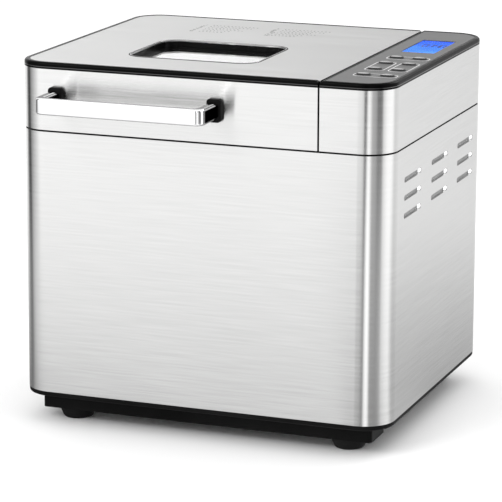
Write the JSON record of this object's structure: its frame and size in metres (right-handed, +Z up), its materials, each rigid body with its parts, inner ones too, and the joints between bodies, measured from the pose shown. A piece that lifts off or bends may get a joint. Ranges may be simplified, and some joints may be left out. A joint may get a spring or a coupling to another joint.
{
  "type": "bread machine",
  "caption": "Stainless countertop bread machine: rear-hinged window lid with bar handle, side control panel with display and buttons, lift-out pan with driven kneading paddle.",
  "frame": {"origin": "on the floor under the middle of the whole object's box, from handle bar to hinge barrels", "axes": "+X to the right along the front, +Y from front to back, +Z up"},
  "size_m": [0.33, 0.3294, 0.3143],
  "materials": {
    "stainless_steel": "fine horizontal brushing, satin",
    "black_gloss_plastic": "moulded, glossy",
    "black_plastic": "moulded, fine texture",
    "chrome_bar": "polished plating",
    "fascia": "satin grey lacquer",
    "window_glass": "clear, polished",
    "lens": "clear acrylic",
    "display": "backlit blue display",
    "silver_button": "silver lacquer",
    "rubber": "moulded rubber",
    "silicone": "soft silicone",
    "belt_rubber": "ribbed belt",
    "bare_steel": "zinc plated",
    "screw_steel": "zinc plated",
    "chamber_steel": "aluminised sheet",
    "element_sheath": "oxidised tube",
    "ceramic": "unglazed ceramic",
    "cast_aluminium": "die cast",
    "bronze": "sintered bronze",
    "nylon": "moulded nylon",
    "motor_case": "laminated stack, varnished",
    "capacitor_case": "moulded can",
    "circuit_board": "solder resist",
    "transformer_core": "varnished core",
    "non_stick": "dark non-stick coating",
    "wire": "plated wire"
  },
  "bodies": {
    "housing": {"feet": "rubber", "base_tray": "black_plastic", "outer_shell": "stainless_steel", "rear_panel": "stainless_steel", "cord_gland": "black_plastic", "corner_posts": "bare_steel", "top_deck": "black_plastic", "chassis_screws": "screw_steel", "baking_chamber": "chamber_steel", "heating_element": "element_sheath", "element_bushes": "ceramic", "temperature_probe": "bare_steel", "pan_seat": "bare_steel", "drive_bracket": "bare_steel", "bearing_housing": "cast_aluminium", "spindle_bushes": "bronze", "drive_belt": "belt_rubber", "motor": "motor_case", "motor_capacitor": "capacitor_case", "power_board": "circuit_board", "transformer": "transformer_core", "body_hinges": "bare_steel", "hinge_pins": "bare_steel", "control_cover": "stainless_steel", "panel_rim": "black_gloss_plastic", "panel_plate": "fascia", "lcd_lens": "lens", "lcd_module": "display", "control_board": "circuit_board"},
    "lid": {"lid_skirt": "stainless_steel", "lid_rim": "black_gloss_plastic", "lid_top_plate": "stainless_steel", "window_ring": "chrome_bar", "window_well": "black_plastic", "window_glass": "window_glass", "lid_liner": "chamber_steel", "lid_seal": "silicone", "lid_screws": "screw_steel", "handle_posts": "black_plastic", "handle_bar": "chrome_bar", "lid_hinges": "bare_steel"},
    "pan": {"pan_shell": "non_stick", "pan_base": "cast_aluminium", "pan_bush": "bronze"},
    "bail": {"bail_handle": "wire"},
    "kneader": {"pan_shaft": "bare_steel", "kneading_paddle": "non_stick"},
    "drive": {"drive_spindle": "bare_steel", "drive_dog": "cast_aluminium", "driven_pulley": "nylon"},
    "rotor": {"motor_shaft": "bare_steel", "motor_pulley": "nylon"},
    "start_button": {"start_button": "silver_button"},
    "stop_button": {"stop_button": "silver_button"},
    "time_down_button": {"time_down_button": "silver_button"},
    "weight_down_button": {"weight_down_button": "silver_button"},
    "time_up_button": {"time_up_button": "silver_button"},
    "weight_up_button": {"weight_up_button": "silver_button"},
    "menu_button": {"menu_button": "silver_button"},
    "crust_button": {"crust_button": "silver_button"}
  },
  "joints": [
    {"name": "lid_hinge", "type": "hinge", "parent": "housing", "child": "lid", "pos_m": [-0.0303, 0.16025, 0.25555], "axis": [-1, 0, 0], "range_deg": [0, 95]},
    {"name": "pan_lift", "type": "slide", "parent": "housing", "child": "pan", "axis": [0, 0, 1], "range_m": [0, 0.06]},
    {"name": "bail_swing", "type": "hinge", "parent": "pan", "child": "bail", "pos_m": [-0.0303, 0.01525, 0.2093], "axis": [-1, 0, 0], "range_deg": [0, 220]},
    {"name": "spindle_spin", "type": "hinge", "parent": "housing", "child": "drive", "pos_m": [-0.0303, 0.01525, 0.04], "axis": [0, 0, 1], "continuous": true},
    {"name": "kneader_spin", "type": "hinge", "parent": "pan", "child": "kneader", "pos_m": [-0.0303, 0.01525, 0.09], "axis": [0, 0, 1], "continuous": true},
    {"name": "motor_spin", "type": "hinge", "parent": "housing", "child": "rotor", "pos_m": [0.124, 0.01525, 0.06], "axis": [0, 0, 1], "continuous": true},
    {"name": "start_press", "type": "slide", "parent": "housing", "child": "start_button", "axis": [0, 0, -1], "range_m": [0, 0.0012], "stiffness_N_per_m": 800},
    {"name": "stop_press", "type": "slide", "parent": "housing", "child": "stop_button", "axis": [0, 0, -1], "range_m": [0, 0.0012], "stiffness_N_per_m": 800},
    {"name": "time_down_press", "type": "slide", "parent": "housing", "child": "time_down_button", "axis": [0, 0, -1], "range_m": [0, 0.0012], "stiffness_N_per_m": 800},
    {"name": "weight_down_press", "type": "slide", "parent": "housing", "child": "weight_down_button", "axis": [0, 0, -1], "range_m": [0, 0.0012], "stiffness_N_per_m": 800},
    {"name": "time_up_press", "type": "slide", "parent": "housing", "child": "time_up_button", "axis": [0, 0, -1], "range_m": [0, 0.0012], "stiffness_N_per_m": 800},
    {"name": "weight_up_press", "type": "slide", "parent": "housing", "child": "weight_up_button", "axis": [0, 0, -1], "range_m": [0, 0.0012], "stiffness_N_per_m": 800},
    {"name": "menu_press", "type": "slide", "parent": "housing", "child": "menu_button", "axis": [0, 0, -1], "range_m": [0, 0.0012], "stiffness_N_per_m": 800},
    {"name": "crust_press", "type": "slide", "parent": "housing", "child": "crust_button", "axis": [0, 0, -1], "range_m": [0, 0.0012], "stiffness_N_per_m": 800}
  ],
  "couplings": [
    {"joint": "spindle_spin", "follows": "motor_spin", "ratio": 0.15385},
    {"joint": "kneader_spin", "follows": "motor_spin", "ratio": 0.15385}
  ]
}
